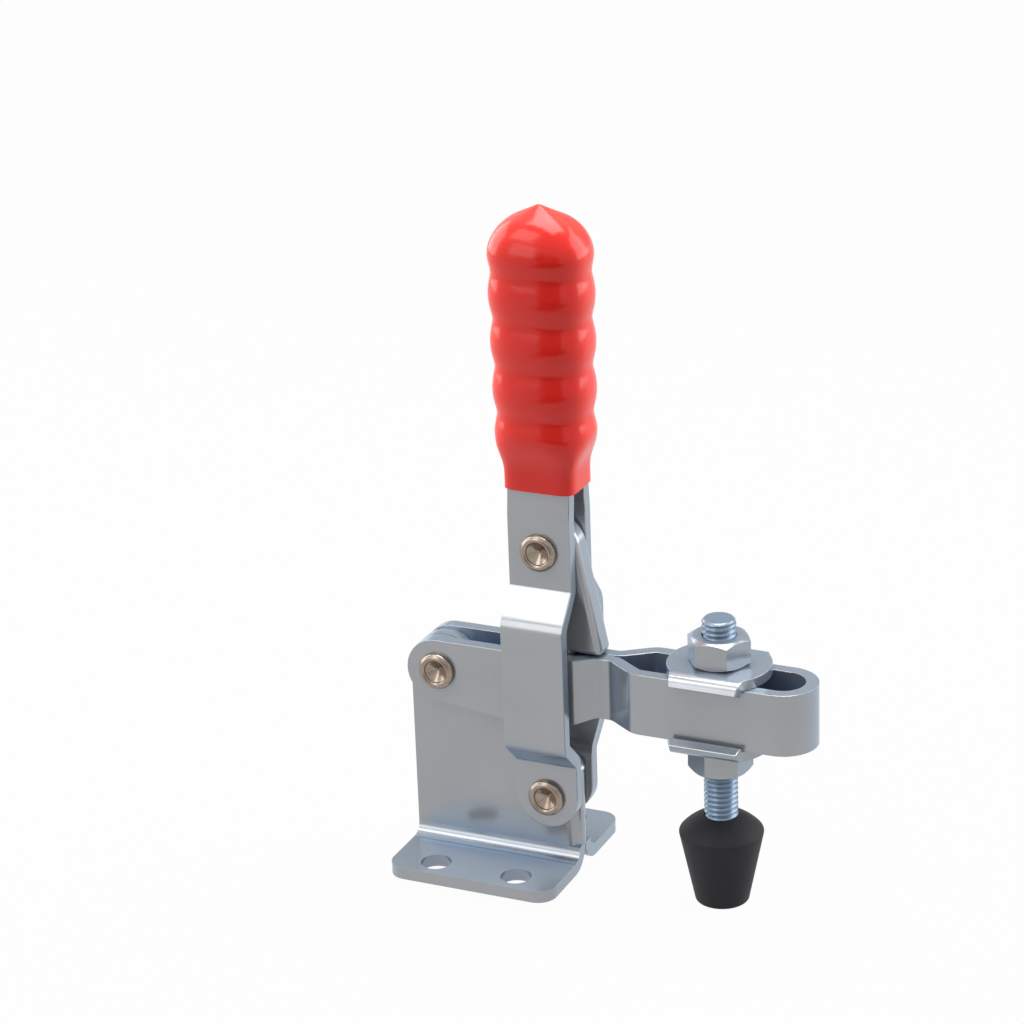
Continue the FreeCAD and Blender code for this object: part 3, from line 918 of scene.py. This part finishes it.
class CLAMP_OT_stud(bpy.types.Operator):
    """Cut the thread on the stud"""

    bl_idname = "clamp.stud"
    bl_label = "Threaded stud"

    def execute(self, context):
        spindle = context.scene.clamp_spindle
        low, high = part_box("stud")
        part = self.threaded_rod(spindle, low, high)
        metal = context.scene.clamp_metal
        material = zinc_plated_fastener(
            metal,
            "zinc plated rolled thread",
            film_colour_and_sheen=metal.thread_blue,
            film_everywhere=metal.thread_film,
            roughness=metal.thread_roughness,
        )
        dress(part, material)
        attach(part, "spindle")
        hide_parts("stud")
        return {"FINISHED"}

    def threaded_rod(self, spindle, low, high):
        """Rod with turns of thread, cut flat at both ends, with the disc head drawn out below. The
        turns run out above, and the end there is chamfered."""
        axis_x = (low.x + high.x) / 2.0
        head_r = (high.x - low.x) / 2.0
        head_top = low.z + spindle.head_height * MM
        crest_r = spindle.thread_crest / 2.0 * MM
        depth = spindle.thread_depth * MM
        pitch = spindle.thread_pitch * MM
        chamfer = spindle.thread_chamfer * MM
        runout = spindle.thread_runout * MM
        turns = int((high.z - head_top) / pitch) + 1
        rings = []
        for turn in range(-SPARE_TURNS, turns + SPARE_TURNS):
            for share, crest in THREAD_PROFILE:
                ring = []
                for i in range(ROD_SIDES):
                    z = head_top + (turn + share + i / ROD_SIDES) * pitch
                    end_cut = max(0.0, z - (high.z - chamfer))
                    fullness = min(1.0, max(0.0, (high.z - runout - z) / pitch + 1.0))
                    cut = depth * (1.0 - crest) * fullness
                    radius = crest_r - max(cut, end_cut)
                    angle = 2.0 * math.pi * i / ROD_SIDES
                    x = axis_x + radius * math.cos(angle)
                    ring.append(Vector((x, radius * math.sin(angle), z)))
                rings.append(ring)
        part = thread_mesh("threaded_stud", rings, len(THREAD_PROFILE))
        work = bmesh.new()
        work.from_mesh(part.data)
        for height, above in ((high.z, True), (head_top, False)):
            bmesh.ops.bisect_plane(
                work,
                geom=[*work.verts, *work.edges, *work.faces],
                dist=CUT_TOLERANCE,
                plane_co=(axis_x, 0.0, height),
                plane_no=(0.0, 0.0, 1.0),
                clear_outer=above,
                clear_inner=not above,
            )
        self.draw_out_head(work, axis_x, head_r, low.z, head_top)
        bmesh.ops.holes_fill(work, edges=[edge for edge in work.edges if edge.is_boundary], sides=0)
        bmesh.ops.recalc_face_normals(work, faces=work.faces)
        for face in work.faces:
            face.smooth = abs(face.normal.z) < END_FACE_UPRIGHT
        work.to_mesh(part.data)
        work.free()
        return part

    def draw_out_head(self, work, axis_x, head_r, bottom, top):
        """Widens the lower end of the rod into its disc head."""
        edges = [edge for edge in work.edges if edge.is_boundary]
        rim = [edge for edge in edges if edge.verts[0].co.z < top + RIM_TOLERANCE]
        for height in (top, bottom):
            drawn = bmesh.ops.extrude_edge_only(work, edges=rim)["geom"]
            for item in drawn:
                if isinstance(item, bmesh.types.BMVert):
                    angle = math.atan2(item.co.y, item.co.x - axis_x)
                    x = axis_x + head_r * math.cos(angle)
                    item.co = (x, head_r * math.sin(angle), height)
            edges = [item for item in drawn if isinstance(item, bmesh.types.BMEdge)]
            rim = [edge for edge in edges if edge.is_boundary]


class CLAMP_OT_cap(bpy.types.Operator):
    """Finish the rubber cap"""

    bl_idname = "clamp.cap"
    bl_label = "Rubber cap"

    def execute(self, context):
        dress(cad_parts["rubber_cap"], moulded_rubber(context.scene.clamp_spindle))
        return {"FINISHED"}


class CLAMP_OT_grip(bpy.types.Operator):
    """Finish the dipped vinyl grip"""

    bl_idname = "clamp.grip"
    bl_label = "Grip"

    def execute(self, context):
        dress(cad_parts["grip"], dipped_vinyl(context.scene.clamp_grip))
        return {"FINISHED"}


class CLAMP_OT_stage(bpy.types.Operator):
    """Set the paper floor, the cards, the soft lights and the camera"""

    bl_idname = "clamp.stage"
    bl_label = "Stage"

    def execute(self, context):
        settings = context.scene.clamp_stage
        scene = context.scene
        scene.view_settings.view_transform = "Standard"
        self.floor(settings)
        self.cards()
        self.world(scene, settings)
        for name, place, size, power in SOFTBOXES:
            self.lamp(name, place, size, power)
        self.camera(scene, settings)
        return {"FINISHED"}

    def sheet(self, name, half_x, half_y, place, turn, material):
        """Flat rectangle of the stage, turned up about its long side by turn."""
        mesh = bpy.data.meshes.new(name)
        corners = [
            (-half_x, -half_y, 0.0),
            (half_x, -half_y, 0.0),
            (half_x, half_y, 0.0),
            (-half_x, half_y, 0.0),
        ]
        mesh.from_pydata(corners, [], [(0, 1, 2, 3)])
        sheet = bpy.data.objects.new(name, mesh)
        sheet.location = place
        sheet.rotation_euler.x = turn
        bpy.context.scene.collection.objects.link(sheet)
        dress(sheet, material)
        return sheet

    def floor(self, settings):
        place = (0.0, 0.0, cad_box[0][2])
        self.sheet("paper_floor", FLOOR_HALF, FLOOR_HALF, place, 0.0, studio_paper(settings))

    def cards(self):
        """Cards that shade the reflections in the vinyl and the plating and that the camera doesn't
        see."""
        for name, colour, half_x, half_y, place, turn in CARDS:
            card = self.sheet(name, half_x, half_y, place, turn, matt_card(name, colour))
            card.visible_camera = False

    def world(self, scene, settings):
        world = bpy.data.worlds.new("even studio light")
        world.use_nodes = True
        tree = world.node_tree
        tree.nodes.clear()
        strength = add_node(
            tree, "ShaderNodeMapRange",
            {"Value": background_rays(tree), "To Min": settings.fill_strength, "To Max": 1.0},
        )
        light = add_node(
            tree, "ShaderNodeBackground",
            {"Color": (1.0, 1.0, 1.0, 1.0), "Strength": strength.outputs["Result"]},
        )
        add_node(tree, "ShaderNodeOutputWorld", {"Surface": light.outputs["Background"]})
        scene.world = world

    def lamp(self, name, place, size, power):
        data = bpy.data.lights.new(name, "AREA")
        data.shape = "SQUARE"
        data.size = size
        data.energy = power
        lamp = bpy.data.objects.new(name, data)
        lamp.location = place
        aim = Vector(LAMP_TARGET) - Vector(place)
        lamp.rotation_euler = aim.to_track_quat("-Z", "Y").to_euler()
        bpy.context.scene.collection.objects.link(lamp)

    def camera(self, scene, settings):
        azimuth = settings.camera_azimuth
        elevation = settings.camera_elevation
        roll = settings.camera_roll
        back = Vector(
            (
                math.sin(azimuth) * math.cos(elevation),
                -math.cos(azimuth) * math.cos(elevation),
                math.sin(elevation),
            )
        )
        level = Vector((math.cos(azimuth), math.sin(azimuth), 0.0))
        upright = back.cross(level)
        right = math.cos(roll) * level + math.sin(roll) * upright
        up = math.cos(roll) * upright - math.sin(roll) * level
        data = bpy.data.cameras.new("photo camera")
        data.lens = settings.camera_lens
        data.sensor_width = SENSOR_WIDTH_MM
        camera = bpy.data.objects.new("photo camera", data)
        place = Vector(settings.camera_target) + settings.camera_distance * back
        turn = Matrix((right, up, back)).transposed().to_4x4()
        camera.matrix_world = Matrix.Translation(place) @ turn
        scene.collection.objects.link(camera)
        scene.camera = camera


class CLAMP_PT_panel(bpy.types.Panel):
    """Lists the steps that dress the clamp, and their settings"""

    bl_idname = "CLAMP_PT_panel"
    bl_label = "Toggle clamp"
    bl_space_type = "VIEW_3D"
    bl_region_type = "UI"
    bl_category = PANEL_TAB

    def draw(self, context):
        for step in STEPS:
            self.layout.operator(step.bl_idname)
        for group_name in GROUPS:
            group = getattr(context.scene, group_name)
            box = self.layout.box()
            for name in group.bl_rna.properties.keys():
                if name not in ("rna_type", "name"):
                    box.prop(group, name)


GROUPS = {
    "clamp_metal": ClampMetalSettings,
    "clamp_spindle": ClampSpindleSettings,
    "clamp_grip": ClampGripSettings,
    "clamp_stage": ClampStageSettings,
}
STEPS = (
    CLAMP_OT_sheet_metal,
    CLAMP_OT_rivets,
    CLAMP_OT_nuts,
    CLAMP_OT_stud,
    CLAMP_OT_cap,
    CLAMP_OT_grip,
    CLAMP_OT_stage,
)
CLASSES = (*GROUPS.values(), *STEPS, CLAMP_PT_panel)


def register():
    for item in CLASSES:
        bpy.utils.register_class(item)
    for name, group in GROUPS.items():
        setattr(bpy.types.Scene, name, bpy.props.PointerProperty(type=group))


def unregister():
    for name in reversed(GROUPS):
        delattr(bpy.types.Scene, name)
    for item in reversed(CLASSES):
        bpy.utils.unregister_class(item)


def main():
    register()
    bpy.ops.clamp.sheet_metal()
    bpy.ops.clamp.rivets()
    bpy.ops.clamp.nuts()
    bpy.ops.clamp.stud()
    bpy.ops.clamp.cap()
    bpy.ops.clamp.grip()
    bpy.ops.clamp.stage()


if __name__ == "__main__":
    main()
